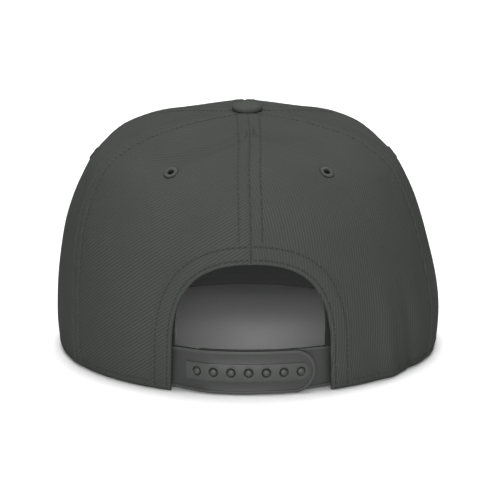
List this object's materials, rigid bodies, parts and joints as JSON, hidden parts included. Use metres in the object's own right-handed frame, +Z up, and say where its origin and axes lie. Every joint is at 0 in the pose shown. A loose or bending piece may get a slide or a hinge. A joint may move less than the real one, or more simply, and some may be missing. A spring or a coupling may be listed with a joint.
{
  "type": "snapback cap",
  "caption": "Panelled cap with a flat visor, covered button, vent eyelets and an arched back opening closed by a plastic snap strap.",
  "frame": {"origin": "middle of the cap's length and width, on the surface that the cap rests on", "axes": "+Y from the strap towards the visor, +X towards the wearer's right, +Z up through the crown"},
  "size_m": [0.175, 0.2585, 0.1115],
  "materials": {
    "crown_cloth": "matt charcoal twill",
    "visor_cloth": "matt charcoal twill over a stiff board",
    "band_cloth": "matt charcoal cotton",
    "thread": "satin embroidery thread",
    "strap_plastic": "satin moulded charcoal plastic"
  },
  "bodies": {
    "root": {"panel_back_left": "crown_cloth", "panel_back_right": "crown_cloth", "panel_side_left": "crown_cloth", "panel_side_right": "crown_cloth", "panel_front_left": "crown_cloth", "panel_front_right": "crown_cloth", "visor": "visor_cloth", "sweatband": "band_cloth", "opening_tape": "band_cloth", "strap_holed": "strap_plastic", "strap_pegged": "strap_plastic", "button": "crown_cloth", "eyelet_back_left": "thread", "eyelet_back_right": "thread", "eyelet_side_left": "thread", "eyelet_side_right": "thread", "eyelet_front_left": "thread", "eyelet_front_right": "thread"}
  },
  "joints": []
}
